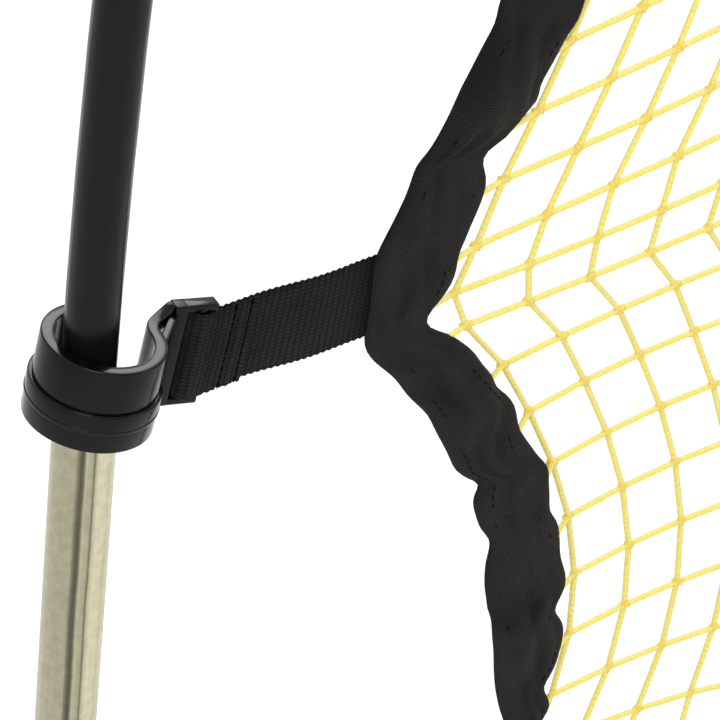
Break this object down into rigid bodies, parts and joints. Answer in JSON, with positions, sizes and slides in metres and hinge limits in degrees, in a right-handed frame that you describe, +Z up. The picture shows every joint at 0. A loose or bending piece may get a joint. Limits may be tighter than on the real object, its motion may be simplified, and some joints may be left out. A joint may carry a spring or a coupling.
{
  "type": "golf chipping net",
  "caption": "Free-standing chipping net: a sagging square-mesh net in a cloth hem, hooked by webbing straps and plastic C-hooks to two bowed poles on a base with folding feet.",
  "frame": {"origin": "centre of the bounding box's footprint, on the ground", "axes": "+Z up; X across the net; the player stands on the -Y side and the net's bag hangs back towards +Y"},
  "size_m": [0.9278, 0.504, 0.9986],
  "materials": {
    "bare_steel": "bare drawn tube, dull with lengthwise streaks",
    "plated_steel": "zinc plated",
    "black_rod": "glossy, faint lengthwise streaks",
    "hook_plastic": "glossy moulded",
    "spacer_plastic": "matte",
    "cap_rubber": "matte",
    "webbing": "flat woven webbing",
    "hem_cloth": "coated woven cloth",
    "net_cord": "knitted cord"
  },
  "bodies": {
    "frame_and_net": {"base_rail": "bare_steel", "pole_socket_left": "bare_steel", "pole_socket_right": "bare_steel", "rail_spacers": "spacer_plastic", "pivot_bolts": "plated_steel", "pivot_washers": "plated_steel", "pivot_nuts": "plated_steel", "lower_pole_left": "bare_steel", "lower_pole_right": "bare_steel", "upper_rod_left": "black_rod", "upper_rod_right": "black_rod", "rod_tip_cap_left": "cap_rubber", "rod_tip_cap_right": "cap_rubber", "corner_pocket_left": "hem_cloth", "corner_pocket_right": "hem_cloth", "hem_left": "hem_cloth", "hem_right": "hem_cloth", "hem_top": "hem_cloth", "hem_bottom": "hem_cloth", "netting": "net_cord"},
    "foot_left": {"foot_left": "bare_steel", "foot_caps_left": "cap_rubber"},
    "foot_right": {"foot_right": "bare_steel", "foot_caps_right": "cap_rubber"},
    "side_strap_left": {"side_strap_left": "webbing"},
    "side_clip_left": {"side_clip_left": "hook_plastic"},
    "low_strap_left": {"low_strap_left": "webbing"},
    "low_clip_left": {"low_clip_left": "hook_plastic"},
    "side_strap_right": {"side_strap_right": "webbing"},
    "side_clip_right": {"side_clip_right": "hook_plastic"},
    "low_strap_right": {"low_strap_right": "webbing"},
    "low_clip_right": {"low_clip_right": "hook_plastic"},
    "rail_strap": {"rail_strap": "webbing"},
    "rail_clip": {"rail_clip": "hook_plastic"}
  },
  "joints": [
    {"name": "foot_left_swivel", "type": "hinge", "parent": "frame_and_net", "child": "foot_left", "pos_m": [-0.4, 0, 0.016], "axis": [0, 0, 1], "range_deg": [0, 90]},
    {"name": "foot_right_swivel", "type": "hinge", "parent": "frame_and_net", "child": "foot_right", "pos_m": [0.4, 0, 0.016], "axis": [0, 0, 1], "range_deg": [-90, 0]},
    {"name": "side_strap_left_flex", "type": "hinge", "parent": "frame_and_net", "child": "side_strap_left", "pos_m": [-0.3312, 0.01, 0.404], "axis": [0, 1, 0], "range_deg": [-3, 3]},
    {"name": "side_clip_left_swivel", "type": "hinge", "parent": "side_strap_left", "child": "side_clip_left", "pos_m": [-0.39675, 0.01, 0.4], "axis": [0.1908, 0, 0.9816], "range_deg": [-3, 3]},
    {"name": "low_strap_left_flex", "type": "hinge", "parent": "frame_and_net", "child": "low_strap_left", "pos_m": [-0.34482, 0.01, 0.088], "axis": [0, 1, 0], "range_deg": [-3, 3]},
    {"name": "low_clip_left_swivel", "type": "hinge", "parent": "low_strap_left", "child": "low_clip_left", "pos_m": [-0.40902, 0.01, 0.088], "axis": [0, 0, 1], "range_deg": [-2, 2]},
    {"name": "side_strap_right_flex", "type": "hinge", "parent": "frame_and_net", "child": "side_strap_right", "pos_m": [0.3312, 0.01, 0.404], "axis": [0, 1, 0], "range_deg": [-3, 3]},
    {"name": "side_clip_right_swivel", "type": "hinge", "parent": "side_strap_right", "child": "side_clip_right", "pos_m": [0.39675, 0.01, 0.4], "axis": [-0.1908, 0, 0.9816], "range_deg": [-3, 3]},
    {"name": "low_strap_right_flex", "type": "hinge", "parent": "frame_and_net", "child": "low_strap_right", "pos_m": [0.34482, 0.01, 0.088], "axis": [0, 1, 0], "range_deg": [-3, 3]},
    {"name": "low_clip_right_swivel", "type": "hinge", "parent": "low_strap_right", "child": "low_clip_right", "pos_m": [0.40902, 0.01, 0.088], "axis": [0, 0, 1], "range_deg": [-2, 2]},
    {"name": "rail_strap_flex", "type": "hinge", "parent": "frame_and_net", "child": "rail_strap", "pos_m": [0, 0.01, 0.141], "axis": [0, 1, 0], "range_deg": [-3, 3]},
    {"name": "rail_clip_swivel", "type": "hinge", "parent": "rail_strap", "child": "rail_clip", "pos_m": [0, 0.01, 0.0768], "axis": [1, 0, 0], "range_deg": [-2, 2]}
  ]
}
